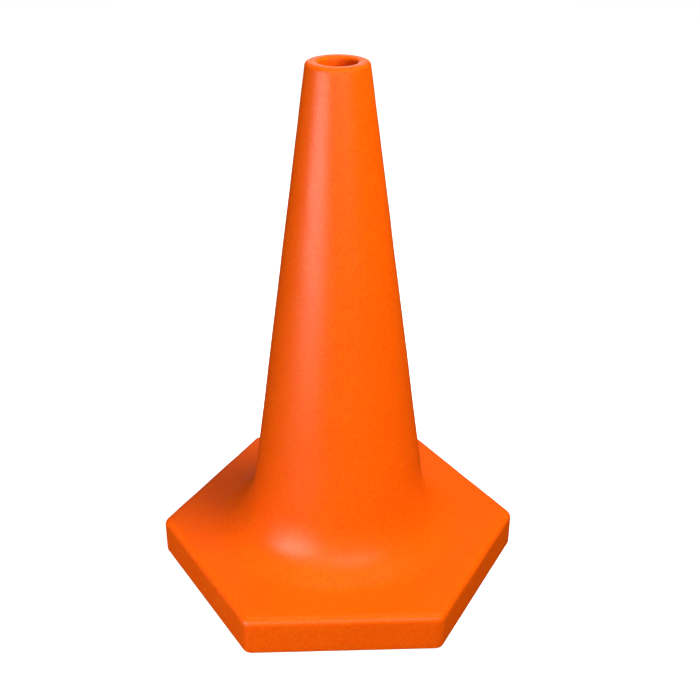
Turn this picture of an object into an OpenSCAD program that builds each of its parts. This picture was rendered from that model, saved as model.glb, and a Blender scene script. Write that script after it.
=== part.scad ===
// Road cone with a thick hexagonal base.
// One double-skinned hollow moulding carries sand in its base, loaded from underneath
// through a port that a screw plug closes. Millimetres, +Z up.
// The origin is the centre of the underside, on the ground.

/* [Overall size] */
// Height from the ground to the top of the lip
total_h = 700; // [560:10:900]
// Width of the base across opposite corners, measured to the sharp corners
base_across = 500; // [410:10:640]

/* [Hexagonal base] */
// Thickness of the base from the ground to its flat top
base_t = 55; // [44:1:80]
// Plan radius of the six corners
corner_r = 12; // [11:1:40]
// Rounding between the base's top and its sides
top_edge_r = 10; // [3:0.5:10]
// Rounding along the bottom edge
bottom_edge_r = 4; // [1:0.5:6]
// Width of the land that the base stands on, round its rim
land_w = 26; // [18:1:40]
// Height of the underside above the ground, inside the land
recess_h = 5; // [3:0.5:8]

/* [Cone] */
// Outside radius that the straight side would have at the top of the lip
cone_top_r = 38; // [34:0.5:60]
// Outside radius that the straight side would have at the base's flat top
cone_foot_r = 126.5; // [100:0.5:140]
// Height of the sweep that blends the cone into the base
sweep_h = 75; // [30:1:90]
// Width that the sweep adds to the cone's foot
sweep_w = 50; // [20:1:56]

/* [Lip] */
// Radius of the hole through the lip
hole_r = 23; // [18:0.5:26]
// Length of the straight neck below the lip
neck_l = 14; // [8:1:30]
// Outer rounding of the lip
lip_outer_r = 5; // [2:0.5:7]
// Inner rounding of the lip
lip_inner_r = 4; // [1:0.5:5]
// Depth of solid material where the two skins meet under the lip
lip_solid = 16; // [10:1:30]

/* [Skins] */
// Thickness of each moulded skin
wall = 3; // [2:0.25:4]
// Rounding at the mouth of the inside bell
mouth_r = 6; // [2:0.5:8]

/* [Ballast] */
// Depth of the sand above the cavity's floor
ballast_depth = 20; // [10:1:26]
// Gap between the sand and the skins
ballast_gap = 0.3; // [0.2:0.1:1]

/* [Filler port and plug] */
// Radius of the port's threaded bore
port_bore_r = 16; // [14:0.5:18]
// Running clearance round the plug's thread
thread_clearance = 0.08; // [0.04:0.01:0.1]
// Wall of the port bush round its bore
bush_wall = 4; // [3:0.5:5]
// Width of the flange beyond the bush wall
flange_w = 4; // [3:0.5:5]
// Thickness of the flange
flange_t = 2; // [1.5:0.5:3]
// Length of the bush above its flange
bush_l = 15; // [12:1:17]
// Clearance of the bush in the skin's hole
bush_clearance = 0.1; // [0.05:0.05:0.3]
// Thickness of the gasket once clamped
gasket_t = 2; // [1:0.5:3]
// Gap between the gasket and the plug's thread
gasket_clearance = 0.4; // [0.3:0.1:1]
// Thickness of the plug's head
head_t = 4; // [3:0.5:5]
// Length of the thread above the head
thread_l = 13; // [10:1:14]
// Radius of the hollow in the plug
plug_cup_r = 12; // [9:0.5:12]
// Thickness of the grip bar across the plug's hollow
grip_t = 5; // [3:0.5:6]
// Height of the plug's head above the ground
plug_ground_gap = 4; // [3:0.5:8]
// Depth by which the grip bar stands back from the plug's face
grip_recess = 1; // [0.5:0.5:2]
// Step from the flange's edge in to the edges of the gasket and the plug's head
flange_step = 1; // [0.5:0.5:2]
// Clearance round the bush's flange in its pocket
pocket_clearance = 4; // [3:0.5:8]

/* [Hidden] */

// Facet counts: full circles, blended corner posts, and one rounded edge or sweep
round_fn = 96;
post_fn = 36;
edge_steps = 6;
sweep_steps = 12;
// Length by which a cutting tool runs past the face that it cuts
past = 1;
// Depth by which the cone's foot is sunk into the base, so that the two fuse
foot_sink = 10;
// Depth by which the sweep ends below the base's flat top
sweep_sink = 0.2;
// Least rounding of an inset edge
least_r = 1;

// Cone side: change of radius for each millimetre of height
cone_slope = (cone_foot_r - cone_top_r) / (total_h - base_t);
function side_r(z) = cone_top_r + cone_slope * (total_h - z);
// Distance from the outer face to the bell's face, level, which the hole's size sets
skin_span = cone_top_r - hole_r;
function bell_r(z) = side_r(z) - skin_span;
neck_z = total_h - neck_l;

// Moving a hexagon's sides inwards by 1 moves its sharp corners inwards by this much
corner_share = 1 / cos(30);
base_r = base_across / 2;
land_r = base_r - land_w * corner_share;

// Heights of the filler port's stack, from the ground up
head_z = plug_ground_gap;
gasket_z = head_z + head_t;
flange_z = gasket_z + gasket_t;
pocket_z = flange_z + flange_t;
bush_r = port_bore_r + bush_wall;
flange_r = bush_r + flange_w;
pocket_r = flange_r + pocket_clearance;
gasket_r = flange_r - flange_step;
thread_r = port_bore_r - thread_clearance;
thread_top_z = gasket_z + thread_l;
cup_z = thread_top_z - wall;
// The port lies towards one corner, midway between the bell's wall and the land's corner
filler_x = (bell_r(0) + wall + land_r) / 2;

// Level of the sand
sand_z = recess_h + wall + ballast_depth;

// Points of an arc about (cx, cz), from angle a0 to a1
function arc(cx, cz, r, a0, a1) =
    [for (i = [0 : edge_steps]) let (a = a0 + (a1 - a0) * i / edge_steps)
        [cx + r * cos(a), cz + r * sin(a)]];

// Point at share s along the sweep: it leaves the cone's side and lands flat on the base.
// inset moves the curve into the wall.
function sweep_point(s, inset) =
    let (start = [side_r(base_t + sweep_h), sweep_h],
         bend = [cone_foot_r, -sweep_sink],
         end = [cone_foot_r + sweep_w, -sweep_sink],
         p = start * (1 - s) * (1 - s) + bend * 2 * s * (1 - s) + end * s * s,
         d = (bend - start) * (1 - s) + (end - bend) * s,
         n = [d[1], -d[0]] / norm(d))
    [p[0] + n[0] * inset, base_t + p[1] + n[1] * inset];

// Rounded hexagonal block: the base's outside, moved inwards on every side by inset
module hex_block(inset) {
    post_r = corner_r - inset;
    top_r = max(top_edge_r - inset, least_r);
    low_r = max(bottom_edge_r - inset, least_r);
    top_z = base_t - inset;
    centre_r = base_r - corner_r * corner_share;
    outline = concat(
        [[0, inset]],
        arc(post_r - low_r, inset + low_r, low_r, -90, 0),
        arc(post_r - top_r, top_z - top_r, top_r, 0, 90),
        [[0, top_z]]);
    hull() {
        for (corner = [0 : 5]) {
            rotate([0, 0, 60 * corner])
                translate([centre_r, 0, 0])
                    rotate_extrude($fn = post_fn) polygon(outline);
        }
    }
}

// Straight hexagonal prism, given by the radius of its sharp corners
module hex_prism(r, z0, z1) {
    translate([0, 0, z0]) cylinder(r = r, h = z1 - z0, $fn = 6);
}

// Solid cone with its sweep: the outside of the moulding above the base
module cone_outside() {
    sweep = [for (i = [0 : sweep_steps]) sweep_point(1 - i / sweep_steps, 0)];
    lip_x = side_r(total_h - lip_outer_r) - lip_outer_r;
    profile = concat(
        [[0, base_t - foot_sink], [cone_foot_r + sweep_w, base_t - foot_sink]],
        sweep,
        arc(lip_x, total_h - lip_outer_r, lip_outer_r, 0, 90),
        [[0, total_h]]);
    rotate_extrude($fn = round_fn) polygon(profile);
}

// Room inside the outer skin, above the base
module cone_room() {
    sweep = [for (i = [0 : sweep_steps]) sweep_point(1 - i / sweep_steps, wall)];
    room_top = total_h - lip_solid;
    foot_z = base_t - foot_sink;
    profile = concat(
        [[0, foot_z], [sweep[0][0], foot_z]],
        sweep,
        [[side_r(room_top) - wall, room_top], [0, room_top]]);
    rotate_extrude($fn = round_fn) polygon(profile);
}

// Bell under the lip, open at both ends: the inner skin's open face
module bell() {
    mouth_x = bell_r(mouth_r) + mouth_r;
    lip_x = hole_r + lip_inner_r;
    profile = concat(
        [[0, -past], [mouth_x, -past]],
        arc(mouth_x, mouth_r, mouth_r, 270, 180),
        [[bell_r(neck_z), neck_z - past], [hole_r, neck_z]],
        arc(lip_x, total_h - lip_inner_r, lip_inner_r, 180, 90),
        [[lip_x, total_h + past], [0, total_h + past]]);
    rotate_extrude($fn = round_fn) polygon(profile);
}

// The bell's face moved outwards by skin, which bounds the hollow between the skins
module bell_skin(skin) {
    foot_x = bell_r(mouth_r) + mouth_r + skin;
    profile = [
        [0, -past], [foot_x, -past], [foot_x, mouth_r],
        [bell_r(2 * mouth_r) + skin, 2 * mouth_r],
        [bell_r(neck_z) + skin, neck_z - past], [hole_r + skin, neck_z],
        [hole_r + skin, total_h], [0, total_h]];
    rotate_extrude($fn = round_fn) polygon(profile);
}

// Cuts the bell, the recess and the plug's pocket out of its children, each grown by skin
module cut_underside(skin) {
    difference() {
        children();
        bell_skin(skin);
        hex_prism(land_r + skin * corner_share, 0, recess_h + skin);
        translate([filler_x, 0, 0])
            cylinder(r = pocket_r + skin, h = pocket_z + skin, $fn = round_fn);
    }
}

// Hollow between the skins
module hollow() {
    cut_underside(wall) {
        union() {
            hex_block(wall);
            cone_room();
        }
    }
}

// One-piece hollow moulding: outer skin, lip, inner bell and underside
module cone_shell() {
    color([1, 0.41, 0])
    difference() {
        union() {
            hex_block(0);
            cone_outside();
        }
        hollow();
        bell();
        hex_prism(land_r, -past, recess_h);
        translate([filler_x, 0, -past])
            cylinder(r = pocket_r, h = pocket_z + past, $fn = round_fn);
        translate([filler_x, 0, pocket_z - past])
            cylinder(r = bush_r + bush_clearance, h = wall + 2 * past, $fn = round_fn);
    }
}

// Sand that lies in the base, a small gap clear of the skins and of the port
module ballast_sand() {
    inset = wall + ballast_gap;
    color([0.76, 0.66, 0.48])
    difference() {
        cut_underside(inset) {
            intersection() {
                hex_block(inset);
                hex_prism(base_across, 0, sand_z);
            }
        }
        translate([filler_x, 0, 0])
            cylinder(r = bush_r + ballast_gap, h = sand_z + past, $fn = round_fn);
    }
}

// Threaded bush welded into the underside, with a flange that the gasket seals on
module filler_port() {
    color([0.16, 0.16, 0.17])
    translate([filler_x, 0, flange_z])
    difference() {
        union() {
            cylinder(r = flange_r, h = flange_t, $fn = round_fn);
            cylinder(r = bush_r, h = flange_t + bush_l, $fn = round_fn);
        }
        translate([0, 0, -past])
            cylinder(r = port_bore_r, h = flange_t + bush_l + 2 * past, $fn = round_fn);
    }
}

// Flat rubber ring between the plug's head and the port's flange
module plug_gasket() {
    color([0.08, 0.08, 0.08])
    translate([filler_x, 0, gasket_z])
    difference() {
        cylinder(r = gasket_r, h = gasket_t, $fn = round_fn);
        translate([0, 0, -past])
            cylinder(r = thread_r + gasket_clearance, h = gasket_t + 2 * past, $fn = round_fn);
    }
}

// Screw plug: a head, a threaded shank, and a hollow with a grip bar across it
module filler_plug() {
    cup_h = cup_z - head_z;
    color([0.12, 0.12, 0.13])
    translate([filler_x, 0, head_z])
    union() {
        difference() {
            union() {
                cylinder(r = gasket_r, h = head_t, $fn = round_fn);
                cylinder(r = thread_r, h = head_t + thread_l, $fn = round_fn);
            }
            translate([0, 0, -past])
                cylinder(r = plug_cup_r, h = cup_h + past, $fn = round_fn);
        }
        translate([-plug_cup_r - past, -grip_t / 2, grip_recess])
            cube([2 * (plug_cup_r + past), grip_t, cup_h]);
    }
}

cone_shell();
ballast_sand();
filler_port();
plug_gasket();
filler_plug();
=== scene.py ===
import math
import bmesh
import bpy
from mathutils import Matrix, Vector


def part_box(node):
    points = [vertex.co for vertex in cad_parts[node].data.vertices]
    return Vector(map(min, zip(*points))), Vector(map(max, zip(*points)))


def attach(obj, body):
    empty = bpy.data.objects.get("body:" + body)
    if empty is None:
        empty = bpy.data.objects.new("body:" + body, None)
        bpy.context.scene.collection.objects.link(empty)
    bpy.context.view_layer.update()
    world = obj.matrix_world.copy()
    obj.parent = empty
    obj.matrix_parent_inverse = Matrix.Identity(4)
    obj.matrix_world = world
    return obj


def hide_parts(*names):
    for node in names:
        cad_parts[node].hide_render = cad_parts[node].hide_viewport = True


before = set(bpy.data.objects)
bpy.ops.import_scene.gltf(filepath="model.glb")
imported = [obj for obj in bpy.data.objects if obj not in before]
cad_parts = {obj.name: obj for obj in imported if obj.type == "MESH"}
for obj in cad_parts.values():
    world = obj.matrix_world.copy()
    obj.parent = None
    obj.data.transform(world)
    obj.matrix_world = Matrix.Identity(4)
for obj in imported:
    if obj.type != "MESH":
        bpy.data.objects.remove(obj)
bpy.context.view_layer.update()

# ---------------------------------------------------------------------------
# Sizes, in metres. The origin is the centre of the base's underside.
# ---------------------------------------------------------------------------

shell_low, shell_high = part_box("cone_shell")
plug_low, plug_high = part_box("filler_plug")
gasket_low, gasket_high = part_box("plug_gasket")
port_low, port_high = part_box("filler_port")

TOTAL_H = shell_high[2]
BASE_FLAT = shell_high[1]          # centre to flat side
FILLER_X = (plug_low[0] + plug_high[0]) / 2
FILLER = (FILLER_X, 0.0)           # axis of the port, the gasket and the plug

BASE_T = 0.055                     # thickness of the base
CORNER_R = 0.012                   # plan radius of its corners
TOP_EDGE_R = 0.010
BOTTOM_EDGE_R = 0.004
LAND_W = 0.026                     # width of the rim that stands on the ground
RECESS_H = 0.005
LAND_EDGE_R = 0.0035               # soft edge of the rim, towards the recess
RECESS_EDGE_R = 0.0012
CONE_TOP_R = 0.038
CONE_FOOT_R = 0.1265
SWEEP_H = 0.075
SWEEP_W = 0.050
HOLE_R = 0.023
NECK_L = 0.014
LIP_OUTER_R = 0.005
LIP_INNER_R = 0.004
WALL = 0.003
MOUTH_R = 0.006
WAVE = 0.0009                      # from hollow to crest of the moulding's slight waves

POCKET_R = 0.028
POCKET_EDGE_R = 0.002
CUT_PAST = 0.0001                  # how far the pocket's rounded edge starts below the recess
PORT_FIT = 0.0001                  # clearance of the port in the shell's hole
FLANGE_T = 0.002
BUSH_R = 0.020
PORT_BORE_R = 0.016

PLUG_CORE_R = 0.0148               # plug's shank at the root of its thread
PLUG_CUP_R = 0.012
PLUG_WALL = 0.003
GRIP_T = 0.005
GRIP_RECESS = 0.001
SOFT_EDGE_R = 0.001                # rounding of the plug, the port and the pocket's corner
PITCH = 0.004                      # of the port's thread and the plug's, right-handed
THREAD_FIT = 0.0001                # clearance at a thread's crest
RIDGE_ROOT = 0.0023                # width of a thread's ridge at its root
RIDGE_CREST = 0.0010
RIDGE_SINK = 0.0003                # depth of the ridge's root in the body that carries it
RIM_NOTCHES = 12
NOTCH_STEPS = 12                   # edges round the rim from one notch to the next
NOTCH_DEPTH = 0.0008
GASKET_HOLE_R = 0.01632

ARC_STEPS = 12                     # edges round one corner of the hexagon
FLAT_STEPS = 20                    # edges along one side of the hexagon
RING = 6 * (ARC_STEPS + FLAT_STEPS)
ROUND = 96                         # edges round the pocket, the port and the gasket
THREAD_STEPS = 48                  # steps in one turn of a thread


def cone_r(z):
    """Outside radius of the cone's straight side at height z."""
    return CONE_TOP_R + (CONE_FOOT_R - CONE_TOP_R) * (TOTAL_H - z) / (TOTAL_H - BASE_T)


def bell_r(z):
    """Radius of the open bell inside the cone at height z."""
    return cone_r(z) - (CONE_TOP_R - HOLE_R)


# ---------------------------------------------------------------------------
# Tools of the bench
# ---------------------------------------------------------------------------

def arc(cx, cz, r, start, end, steps):
    """Points of an arc about (cx, cz), angles in degrees."""
    angles = [math.radians(start + (end - start) * i / steps) for i in range(steps + 1)]
    return [(cx + r * math.cos(a), cz + r * math.sin(a)) for a in angles]


def line(start, end, steps):
    """Points along a straight line, without its first."""
    return [tuple(a + (b - a) * i / steps for a, b in zip(start, end))
            for i in range(1, steps + 1)]


def new_piece(name):
    """An empty mesh object, selected alone and in edit mode."""
    bpy.ops.object.select_all(action="DESELECT")
    piece = bpy.data.objects.new(name, bpy.data.meshes.new(name))
    bpy.context.scene.collection.objects.link(piece)
    bpy.context.view_layer.objects.active = piece
    piece.select_set(True)
    bpy.ops.object.mode_set(mode="EDIT")
    bpy.ops.mesh.select_mode(type="EDGE")
    return piece


def pick_edges(test):
    """Selects the edges that pass the test, and nothing else."""
    bpy.ops.mesh.select_all(action="DESELECT")
    mesh = bpy.context.edit_object.data
    bm = bmesh.from_edit_mesh(mesh)
    for edge in bm.edges:
        if test(edge):
            edge.select_set(True)
    bmesh.update_edit_mesh(mesh)


def at_height(edge, z):
    return all(abs(v.co.z - z) < 1e-5 for v in edge.verts)


def add_circle(r, z, vertices, centre=(0.0, 0.0)):
    """A round ring, left selected."""
    bpy.ops.mesh.select_all(action="DESELECT")
    bpy.ops.mesh.primitive_circle_add(vertices=vertices, radius=r,
                                      location=(centre[0], centre[1], z))


def add_hexagon(flat, corner, z):
    """A ring of RING vertices round a hexagon with rounded corners, left selected."""
    bpy.ops.mesh.select_all(action="DESELECT")
    bpy.ops.mesh.primitive_circle_add(
        vertices=6, radius=flat / math.cos(math.radians(30)), fill_type="NGON",
        location=(0, 0, z), rotation=(0, 0, math.radians(30)))
    bpy.ops.mesh.bevel(offset=corner * math.tan(math.radians(30)), segments=ARC_STEPS,
                       affect="VERTICES", clamp_overlap=False)
    pick_edges(lambda e: at_height(e, z) and e.calc_length() > flat / 2)
    bpy.ops.mesh.subdivide(number_cuts=FLAT_STEPS - 1)
    bm = bmesh.from_edit_mesh(bpy.context.edit_object.data)
    for face in [f for f in bm.faces if len(f.verts) == RING]:
        edges = list(face.edges)
        bm.faces.remove(face)
    bpy.ops.mesh.select_all(action="DESELECT")
    for edge in edges:
        edge.select_set(True)
    bmesh.update_edit_mesh(bpy.context.edit_object.data)


def run_through(points, centre=(0.0, 0.0)):
    """Extrudes the selected ring through (radius, height) points; it starts at the first."""
    r0, z0 = points[0]
    for r, z in points[1:]:
        bpy.ops.mesh.extrude_edges_move(TRANSFORM_OT_translate={"value": (0, 0, z - z0)})
        bpy.ops.transform.resize(value=(r / r0, r / r0, 1), center_override=(*centre, 0))
        r0, z0 = r, z


def bridge_at(z, cuts, middle_r):
    """Joins the two open rings at height z, on either side of middle_r, with a flat face.
    The outer ring is lowered while they are joined, so that the rings aren't in one plane."""
    drop = 0.001
    pick_edges(lambda e: e.is_boundary and at_height(e, z) and e.verts[0].co.length > middle_r)
    bpy.ops.transform.translate(value=(0, 0, -drop))
    pick_edges(lambda e: e.is_boundary and (at_height(e, z) or at_height(e, z - drop)))
    bpy.ops.mesh.bridge_edge_loops(number_cuts=cuts, interpolation="LINEAR")
    bpy.ops.transform.resize(value=(1, 1, 0), center_override=(0, 0, z))


def close_piece(piece, angle=35):
    """Merges doubles, turns the faces outwards, leaves edit mode and smooths."""
    bpy.ops.mesh.select_all(action="SELECT")
    bpy.ops.mesh.remove_doubles(threshold=1e-6)
    bpy.ops.mesh.normals_make_consistent(inside=False)
    bpy.ops.object.mode_set(mode="OBJECT")
    bpy.ops.object.shade_smooth_by_angle(angle=math.radians(angle))
    return piece


def apply_modifier(piece, kind, **settings):
    """Adds a modifier to the piece and applies it."""
    bpy.ops.object.select_all(action="DESELECT")
    bpy.context.view_layer.objects.active = piece
    piece.select_set(True)
    modifier = piece.modifiers.new(kind.title(), kind)
    for key, value in settings.items():
        setattr(modifier, key, value)
    bpy.ops.object.modifier_apply(modifier=modifier.name)


def turned(name, profile, steps, centre=(0.0, 0.0), closed=False):
    """A piece turned on a vertical axis from (radius, height) points.
    closed joins the last point to the first; otherwise both ends are capped."""
    piece = new_piece(name)
    add_circle(*profile[0], steps, centre)
    run_through(profile + [profile[0]] if closed else profile, centre)
    if not closed:
        for z in (profile[0][1], profile[-1][1]):
            pick_edges(lambda e: e.is_boundary and at_height(e, z))
            bpy.ops.mesh.edge_face_add()
    return close_piece(piece)


def cut(piece, tool, operation="DIFFERENCE"):
    """Cuts the tool out of the piece, or joins it on, and throws the tool away."""
    apply_modifier(piece, "BOOLEAN", object=tool, operation=operation, solver="EXACT")
    bpy.data.objects.remove(tool)


# ---------------------------------------------------------------------------
# Finishes
# ---------------------------------------------------------------------------

class Finish:
    """A material built from nodes, with small helpers for its textures."""

    def __init__(self, name, colour, roughness, **constants):
        self.material = bpy.data.materials.new(name)
        self.material.use_nodes = True
        self.tree = self.material.node_tree
        self.shader = self.tree.nodes["Principled BSDF"]
        self.shader.inputs["Base Color"].default_value = (*colour, 1)
        self.shader.inputs["Roughness"].default_value = roughness
        for key, value in constants.items():
            self.shader.inputs[key.replace("_", " ")].default_value = value
        self.place = self.add("ShaderNodeTexCoord").outputs["Object"]
        self.bump = None

    def add(self, kind, **settings):
        node = self.tree.nodes.new(kind)
        for key, value in settings.items():
            setattr(node, key, value)
        return node

    def link(self, output, target):
        self.tree.links.new(output, target)

    def noise(self, size, detail=2.0, roughness=0.5, stretch=(1, 1, 1)):
        """Noise whose features are about size metres across."""
        mapping = self.add("ShaderNodeMapping")
        mapping.inputs["Scale"].default_value = stretch
        self.link(self.place, mapping.inputs["Vector"])
        texture = self.add("ShaderNodeTexNoise")
        texture.inputs["Scale"].default_value = 1 / size
        texture.inputs["Detail"].default_value = detail
        texture.inputs["Roughness"].default_value = roughness
        self.link(mapping.outputs["Vector"], texture.inputs["Vector"])
        return texture.outputs["Fac"]

    def remap(self, value, low, high, to_low, to_high, smooth=False):
        node = self.add("ShaderNodeMapRange",
                        interpolation_type="SMOOTHSTEP" if smooth else "LINEAR")
        for key, number in (("From Min", low), ("From Max", high),
                            ("To Min", to_low), ("To Max", to_high)):
            node.inputs[key].default_value = number
        self.link(value, node.inputs["Value"])
        return node.outputs["Result"]

    def plus(self, a, b):
        node = self.add("ShaderNodeMath", operation="ADD")
        self.link(a, node.inputs[0])
        self.link(b, node.inputs[1])
        return node.outputs[0]

    def blend(self, factor, a, b, kind="MIX"):
        """Colour a turning into colour b; each is a colour or a node's output."""
        node = self.add("ShaderNodeMix", data_type="RGBA", blend_type=kind)
        self.link(factor, node.inputs["Factor"])
        for socket, colour in ((node.inputs[6], a), (node.inputs[7], b)):
            if isinstance(colour, tuple):
                socket.default_value = (*colour, 1)
            else:
                self.link(colour, socket)
        return node.outputs[2]

    def add_bump(self, height, depth, strength=1.0):
        node = self.add("ShaderNodeBump")
        node.inputs["Strength"].default_value = strength
        node.inputs["Distance"].default_value = depth
        self.link(height, node.inputs["Height"])
        if self.bump:
            self.link(self.bump, node.inputs["Normal"])
        self.bump = node.outputs["Normal"]
        self.link(self.bump, self.shader.inputs["Normal"])

    def set(self, socket, output):
        self.link(output, self.shader.inputs[socket])


def shell_finish():
    """Orange polyethylene from a blasted mould: satin, fine grained, faintly mottled."""
    f = Finish("orange_polyethylene", (0.95, 0.12, 0.002), 0.45, Specular_IOR_Level=0.35,
               Subsurface_Weight=0.15, Subsurface_Scale=0.004)
    f.shader.inputs["Subsurface Radius"].default_value = (1.0, 0.25, 0.05)
    cloud = f.remap(f.noise(0.11, 3.0), 0.35, 0.65, 0, 1, smooth=True)
    colour = f.blend(cloud, (0.97, 0.132, 0.0015), (0.95, 0.122, 0.0012))
    grain = f.remap(f.noise(0.0022, 1.0), 0.36, 0.64, 0, 1)
    colour = f.blend(grain, colour, (0.92, 0.09, 0.001))
    f.set("Base Color", colour)
    blush = f.remap(f.noise(0.02, 3.0), 0.3, 0.7, 0, 0.06)
    f.set("Roughness", f.plus(blush, f.remap(grain, 0, 1, 0.30, 0.36)))
    f.add_bump(f.noise(0.006, 2.0), 0.0002, 0.35)
    f.add_bump(grain, 0.00006, 0.8)
    return f.material


def sand_finish():
    """Dry washed sand: grains of several tans."""
    f = Finish("dry_sand", (0.5, 0.36, 0.2), 0.95)
    grains = f.remap(f.noise(0.0012, 2.0), 0.3, 0.7, 0, 1)
    drift = f.remap(f.noise(0.05, 3.0), 0.35, 0.65, 0, 1, smooth=True)
    pale = f.blend(drift, (0.62, 0.47, 0.28), (0.52, 0.37, 0.2))
    f.set("Base Color", f.blend(grains, pale, (0.27, 0.17, 0.08)))
    f.set("Roughness", f.remap(grains, 0, 1, 0.85, 1.0))
    f.add_bump(f.noise(0.0012, 2.0), 0.0006)
    f.add_bump(drift, 0.002)
    return f.material


def dark_plastic_finish(name, colour, roughness):
    """Black moulded plastic with a fine texture and a few pale rubs."""
    f = Finish(name, colour, roughness)
    pale = tuple(c * 2.2 for c in colour)
    rubs = f.remap(f.noise(0.004, 4.0, 0.7), 0.58, 0.72, 0, 1, smooth=True)
    f.set("Base Color", f.blend(rubs, colour, pale))
    f.set("Roughness", f.remap(f.noise(0.008, 3.0), 0.3, 0.7, roughness - 0.08, roughness + 0.1))
    f.add_bump(f.noise(0.0005, 2.0), 0.00003)
    return f.material


def rubber_finish():
    """Soft black rubber with a matt bloom."""
    f = Finish("black_gasket_rubber", (0.012, 0.012, 0.012), 0.8)
    bloom = f.remap(f.noise(0.006, 4.0, 0.6), 0.4, 0.7, 0, 1, smooth=True)
    f.set("Base Color", f.blend(bloom, (0.010, 0.010, 0.010), (0.035, 0.034, 0.033)))
    f.set("Roughness", f.remap(bloom, 0, 1, 0.7, 0.92))
    f.add_bump(f.noise(0.0005, 2.0), 0.00005)
    return f.material


# ---------------------------------------------------------------------------
# The hollow moulding
# ---------------------------------------------------------------------------

def sweep(steps):
    """Points from the base's flat top up the curve that blends into the cone's side."""
    foot = (CONE_FOOT_R + SWEEP_W, BASE_T)
    bend = (CONE_FOOT_R, BASE_T)
    head = (cone_r(BASE_T + SWEEP_H), BASE_T + SWEEP_H)
    points = []
    for i in range(steps + 1):
        s = i / steps
        points.append(tuple(a * (1 - s) ** 2 + b * 2 * s * (1 - s) + c * s * s
                            for a, b, c in zip(foot, bend, head)))
    return points


def cone_profile():
    """Outside of the cone, over the lip and down the bell to its mouth."""
    outside = sweep(28)
    shoulder_z = TOTAL_H - LIP_OUTER_R
    shoulder_r = cone_r(shoulder_z)
    lip = arc(shoulder_r - LIP_OUTER_R, shoulder_z, LIP_OUTER_R, 0, 90, 6)
    rim = arc(HOLE_R + LIP_INNER_R, TOTAL_H - LIP_INNER_R, LIP_INNER_R, 90, 180, 6)
    neck_z = TOTAL_H - NECK_L
    low_z = RECESS_H + MOUTH_R
    mouth = arc(bell_r(low_z) + MOUTH_R, low_z, MOUTH_R, 180, 270, 5)
    return (outside
            + line(outside[-1], (shoulder_r, shoulder_z), 44) + lip[1:]
            + line(lip[-1], rim[0], 2) + rim[1:]
            + line(rim[-1], (HOLE_R, neck_z), 2)
            + line((HOLE_R, neck_z), (bell_r(neck_z - NECK_L / 2), neck_z - NECK_L / 2), 2)
            + line((bell_r(neck_z - NECK_L / 2), neck_z - NECK_L / 2), mouth[0], 30) + mouth[1:])


def block_profile():
    """The base as (centre to flat, height): recess, rim, side and the edge of its top."""
    land = BASE_FLAT - LAND_W
    recess = arc(land - RECESS_EDGE_R, RECESS_H - RECESS_EDGE_R, RECESS_EDGE_R, 90, 0, 3)
    rim = arc(land + LAND_EDGE_R, LAND_EDGE_R, LAND_EDGE_R, 180, 270, 4)
    low = arc(BASE_FLAT - BOTTOM_EDGE_R, BOTTOM_EDGE_R, BOTTOM_EDGE_R, -90, 0, 5)
    top = arc(BASE_FLAT - TOP_EDGE_R, BASE_T - TOP_EDGE_R, TOP_EDGE_R, 0, 90, 8)
    return recess + rim + line(rim[-1], low[0], 3) + low[1:] + line(low[-1], top[0], 6) + top[1:]


def moulding_surface():
    """The closed skin of the moulding, with its bell and the recess underneath."""
    piece = new_piece("cone_moulding")
    side = block_profile()
    add_hexagon(side[0][0], CORNER_R * side[0][0] / BASE_FLAT, side[0][1])
    run_through(side)
    profile = cone_profile()
    add_circle(*profile[0], RING)
    run_through(profile)
    bridge_at(BASE_T, 8, (CONE_FOOT_R + SWEEP_W + BASE_FLAT) / 2)
    bridge_at(RECESS_H, 6, BASE_FLAT - LAND_W - TOP_EDGE_R)
    return close_piece(piece)


def make_waves(piece):
    """Lets the outer skin wander a little, as a cooling moulding does."""
    group = piece.vertex_groups.new(name="outer_skin")
    for v in piece.data.vertices:
        radius = math.hypot(v.co.x, v.co.y)
        if radius > bell_r(v.co.z) + 2 * WALL and v.co.z < TOTAL_H - LIP_OUTER_R:
            rise = (v.co.z - BOTTOM_EDGE_R) / TOP_EDGE_R
            group.add([v.index], min(max(rise, 0), 1), "REPLACE")
    clouds = bpy.data.textures.new("mould_waves", "CLOUDS")
    clouds.noise_scale = 0.07
    apply_modifier(piece, "DISPLACE", texture=clouds, texture_coords="LOCAL", mid_level=0.5,
                   strength=WAVE, vertex_group="outer_skin")


def build_shell():
    piece = moulding_surface()
    make_waves(piece)
    apply_modifier(piece, "SOLIDIFY", thickness=WALL, offset=-1, use_even_offset=True)
    ceiling = port_low[2] + FLANGE_T
    boss = turned("pocket_wall", [(POCKET_R + WALL, RECESS_H + WALL / 2),
                                  (POCKET_R + WALL, ceiling + WALL)], ROUND, FILLER)
    cut(piece, boss, "UNION")
    edge = arc(POCKET_R + POCKET_EDGE_R, RECESS_H + POCKET_EDGE_R - CUT_PAST, POCKET_EDGE_R,
               270, 180, 4)
    pocket = turned("pocket_cutter", [(edge[0][0], -WALL)] + edge
                    + arc(POCKET_R - SOFT_EDGE_R, ceiling - SOFT_EDGE_R, SOFT_EDGE_R, 0, 90, 3),
                    ROUND, FILLER)
    cut(piece, pocket)
    hole = turned("port_cutter", [(BUSH_R + PORT_FIT, RECESS_H),
                                  (BUSH_R + PORT_FIT, ceiling + 2 * WALL)], ROUND, FILLER)
    cut(piece, hole)
    finish_piece(piece, shell_finish(), "cone", "cone_shell")


# ---------------------------------------------------------------------------
# Filler port, gasket and plug
# ---------------------------------------------------------------------------

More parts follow.
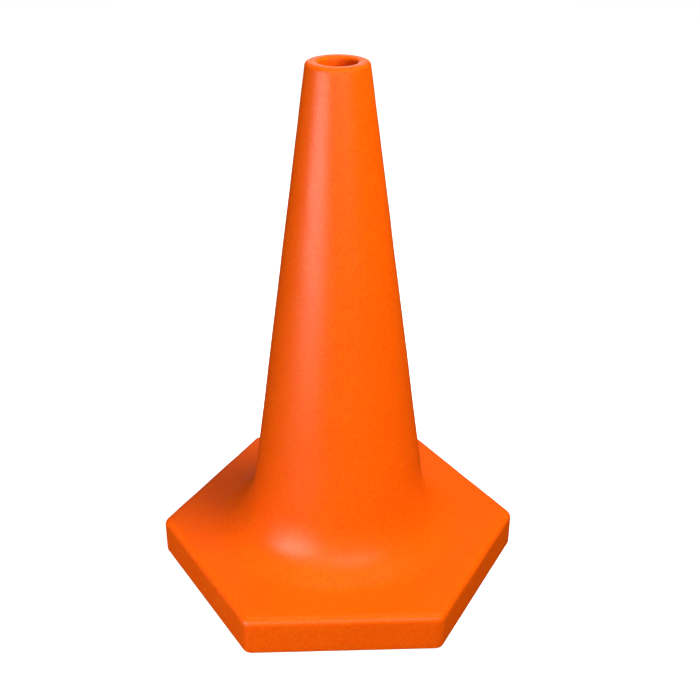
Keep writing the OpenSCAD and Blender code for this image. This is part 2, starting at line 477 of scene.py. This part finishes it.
def add_thread(piece, root_r, crest_r, start_z, end_z):
    """Joins a helical ridge on to the piece. Heights are those of the ridge's middle."""
    ridge = new_piece("ridge")
    middle = ((root_r + crest_r) / 2, 0, start_z)
    bpy.ops.mesh.primitive_plane_add(size=1, location=middle, rotation=(math.pi / 2, 0, 0))
    bpy.ops.transform.resize(value=(abs(crest_r - root_r), 1, RIDGE_ROOT),
                             center_override=middle)
    pick_edges(lambda e: all(abs(v.co.x - crest_r) < 1e-6 for v in e.verts))
    bpy.ops.transform.resize(value=(1, 1, RIDGE_CREST / RIDGE_ROOT), center_override=middle)
    bpy.ops.mesh.select_all(action="SELECT")
    bpy.ops.mesh.delete(type="ONLY_FACE")
    bpy.ops.object.mode_set(mode="OBJECT")
    turns = (end_z - start_z) / PITCH
    steps = round(turns * THREAD_STEPS)
    apply_modifier(ridge, "SCREW", axis="Z", angle=turns * 2 * math.pi,
                   screw_offset=turns * PITCH, steps=steps, render_steps=steps)
    bpy.ops.object.mode_set(mode="EDIT")
    for z in (start_z, end_z):
        pick_edges(lambda e: e.is_boundary
                   and all(abs(v.co.z - z) < RIDGE_ROOT * 0.6 for v in e.verts))
        bpy.ops.mesh.edge_face_add()
    bpy.ops.mesh.select_all(action="SELECT")
    bpy.ops.transform.translate(value=(*FILLER, 0))
    cut(piece, close_piece(ridge), "UNION")


def finish_piece(piece, material, body, node):
    """Smooths, paints and registers a piece that stands for a CAD node."""
    bpy.ops.object.select_all(action="DESELECT")
    bpy.context.view_layer.objects.active = piece
    piece.select_set(True)
    bpy.ops.object.shade_smooth_by_angle(angle=math.radians(35))
    piece.data.materials.clear()
    piece.data.materials.append(material)
    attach(piece, body)
    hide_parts(node)


def build_port():
    """Flange and bush, with the thread inside the bush."""
    low, high = port_low[2], port_high[2]
    flange_r = (port_high[0] - port_low[0]) / 2
    edge = SOFT_EDGE_R / 2
    profile = ([(PORT_BORE_R + edge, low)]
               + arc(flange_r - SOFT_EDGE_R, low + SOFT_EDGE_R, SOFT_EDGE_R, -90, 0, 4)
               + [(flange_r, low + FLANGE_T), (BUSH_R, low + FLANGE_T), (BUSH_R, high - edge)]
               + arc(BUSH_R - edge, high - edge, edge, 0, 90, 3)[1:]
               + [(PORT_BORE_R + edge, high), (PORT_BORE_R, high - edge)]
               + arc(PORT_BORE_R + edge, low + edge, edge, 180, 270, 3)[:-1])
    piece = turned("port", profile, ROUND, FILLER, closed=True)
    add_thread(piece, PORT_BORE_R + RIDGE_SINK, PLUG_CORE_R + 2 * THREAD_FIT,
               low + FLANGE_T, high - RIDGE_ROOT)
    finish_piece(piece, dark_plastic_finish("black_port_plastic", (0.03, 0.03, 0.032), 0.45),
                 "cone", "filler_port")


def build_gasket():
    """Flat ring with soft edges."""
    low, high = gasket_low[2], gasket_high[2]
    r = (gasket_high[0] - gasket_low[0]) / 2
    edge = (high - low) / 4
    profile = (arc(r - edge, low + edge, edge, -90, 0, 4)
               + arc(r - edge, high - edge, edge, 0, 90, 4)
               + arc(GASKET_HOLE_R + edge, high - edge, edge, 90, 180, 4)
               + arc(GASKET_HOLE_R + edge, low + edge, edge, 180, 270, 4))
    piece = turned("gasket_ring", profile, ROUND, FILLER, closed=True)
    finish_piece(piece, rubber_finish(), "seal", "plug_gasket")


def build_plug():
    """Screw plug: a head with a notched rim, a cup with a grip bar, and a threaded shank."""
    low, high, head_top = plug_low[2], plug_high[2], gasket_low[2]
    head_r = (plug_high[0] - plug_low[0]) / 2
    cup_z = high - PLUG_WALL
    edge = SOFT_EDGE_R
    profile = (arc(PLUG_CUP_R - edge, cup_z - edge, edge, 90, 0, 4)
               + arc(PLUG_CUP_R + edge, low + edge, edge, 180, 270, 4)
               + arc(head_r - edge, low + edge, edge, -90, 0, 4)
               + [(head_r, head_top - edge / 2), (head_r - edge / 2, head_top),
                  (PLUG_CORE_R, head_top), (PLUG_CORE_R, high - edge),
                  (PLUG_CORE_R - edge, high)])
    piece = turned("plug", profile, RIM_NOTCHES * NOTCH_STEPS, FILLER)
    bpy.ops.object.mode_set(mode="EDIT")

    def in_notch(v):
        x, y = v.co.x - FILLER_X, v.co.y
        share = math.atan2(y, x) / (2 * math.pi) * RIM_NOTCHES % 1
        return math.hypot(x, y) > head_r - edge / 2 and 0.3 < share < 0.7

    pick_edges(lambda e: all(in_notch(v) for v in e.verts))
    inner = 1 - NOTCH_DEPTH / head_r
    bpy.ops.transform.resize(value=(inner, inner, 1), center_override=(*FILLER, 0))
    bpy.ops.object.mode_set(mode="OBJECT")
    bar = new_piece("grip_bar")
    bar_low = low + GRIP_RECESS
    bar_h = cup_z + edge - bar_low
    middle = (*FILLER, bar_low + bar_h / 2)
    bpy.ops.mesh.primitive_cube_add(size=1, location=middle)
    bpy.ops.transform.resize(value=(2 * PLUG_CUP_R + edge, GRIP_T, bar_h),
                             center_override=middle)
    pick_edges(lambda e: at_height(e, bar_low)
               and abs(e.verts[0].co.y - e.verts[1].co.y) < edge)
    bpy.ops.mesh.bevel(offset=1.5 * edge, segments=5)
    cut(piece, close_piece(bar), "UNION")
    add_thread(piece, PLUG_CORE_R - RIDGE_SINK, PORT_BORE_R - 2 * THREAD_FIT,
               head_top + RIDGE_ROOT, high - RIDGE_ROOT)
    finish_piece(piece, dark_plastic_finish("black_plug_plastic", (0.02, 0.02, 0.022), 0.4),
                 "plug", "filler_plug")


# ---------------------------------------------------------------------------
# Scene
# ---------------------------------------------------------------------------

def paint(node, material):
    """Gives a CAD node a finish."""
    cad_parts[node].data.materials.clear()
    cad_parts[node].data.materials.append(material)


def stage(piece, material):
    """Paints a piece of the set, which sends no light and no reflection to the object."""
    piece.data.materials.append(material)
    piece.visible_diffuse = False
    piece.visible_glossy = False


def build_stage():
    """A pale floor with a little light of its own, and a white wall far behind it."""
    bpy.ops.object.select_all(action="DESELECT")
    bpy.ops.mesh.primitive_plane_add(size=120, location=(0, 0, 0))
    floor = bpy.context.object
    floor.name = "floor"
    f = Finish("pale_floor", (0.86, 0.86, 0.86), 0.9,
               Emission_Color=(1, 1, 1, 1), Emission_Strength=0.85)
    f.set("Base Color", f.blend(f.noise(0.4, 3.0), (0.87, 0.87, 0.87), (0.85, 0.85, 0.85)))
    stage(floor, f.material)
    bpy.ops.mesh.primitive_uv_sphere_add(segments=64, ring_count=32, radius=40)
    wall = bpy.context.object
    wall.name = "wall"
    wall.visible_shadow = False
    stage(wall, Finish("white_wall", (0.0, 0.0, 0.0), 1.0, Emission_Color=(1, 1, 1, 1),
                       Emission_Strength=0.9).material)


def add_light(name, azimuth, elevation, distance, size, watts, mirrored=True):
    """A soft elliptical light, size (wide, high), aimed at the cone. Azimuth 0 is in front,
    and 90 on the right. One that isn't mirrored lights the object without a highlight."""
    aim = Vector((0, 0, 0.25))
    a, e = math.radians(azimuth), math.radians(elevation)
    way = Vector((math.sin(a) * math.cos(e), -math.cos(a) * math.cos(e), math.sin(e)))
    lamp = bpy.data.lights.new(name, "AREA")
    lamp.shape = "ELLIPSE"
    lamp.size, lamp.size_y = size
    lamp.energy = watts
    light = bpy.data.objects.new(name, lamp)
    light.visible_glossy = mirrored
    light.location = aim + way * distance
    light.rotation_euler = way.to_track_quat("Z", "Y").to_euler()
    bpy.context.scene.collection.objects.link(light)


def build_world():
    """A room that is white overhead and dark below the horizon."""
    world = bpy.data.worlds.new("room")
    world.use_nodes = True
    tree = world.node_tree
    place = tree.nodes.new("ShaderNodeTexCoord")
    split = tree.nodes.new("ShaderNodeSeparateXYZ")
    ramp = tree.nodes.new("ShaderNodeMapRange")
    ramp.interpolation_type = "SMOOTHSTEP"
    for key, number in (("From Min", -0.2), ("From Max", 0.6), ("To Min", 0.1), ("To Max", 1.0)):
        ramp.inputs[key].default_value = number
    tree.links.new(place.outputs["Generated"], split.inputs[0])
    tree.links.new(split.outputs["Z"], ramp.inputs["Value"])
    background = tree.nodes["Background"]
    tree.links.new(ramp.outputs["Result"], background.inputs["Color"])
    background.inputs["Strength"].default_value = 0.05
    bpy.context.scene.world = world


def build_lights():
    build_world()
    add_light("key", 66, 58, 2.6, (1.3, 1.3), 70, mirrored=False)
    add_light("ceiling", 0, 88, 2.6, (2.2, 2.2), 19, mirrored=False)
    add_light("fill", 14, 24, 3.0, (3.4, 1.4), 36, mirrored=False)
    add_light("gleam", 14, 20, 3.0, (3.4, 0.7), 10)
    add_light("window", -51, 5, 2.4, (2.2, 0.9), 40)
    add_light("backdrop", 180, 9, 12, (3.5, 3.0), 48)
    bpy.context.scene.view_settings.view_transform = "Standard"


def build_camera():
    place = Vector((-0.0341, -1.2443, 0.9916))
    yaw, pitch, roll = 0.0396, 0.4930, 0.0033
    lens = bpy.data.cameras.new("camera")
    lens.sensor_width = 36
    lens.lens = 55.23
    camera = bpy.data.objects.new("camera", lens)
    camera.matrix_world = (Matrix.Translation(place) @ Matrix.Rotation(-yaw, 4, "Z")
                           @ Matrix.Rotation(math.pi / 2 - pitch, 4, "X")
                           @ Matrix.Rotation(roll, 4, "Z"))
    bpy.context.scene.collection.objects.link(camera)
    bpy.context.scene.camera = camera


build_camera()
build_shell()
paint("ballast_sand", sand_finish())
build_port()
build_gasket()
build_plug()
build_stage()
build_lights()
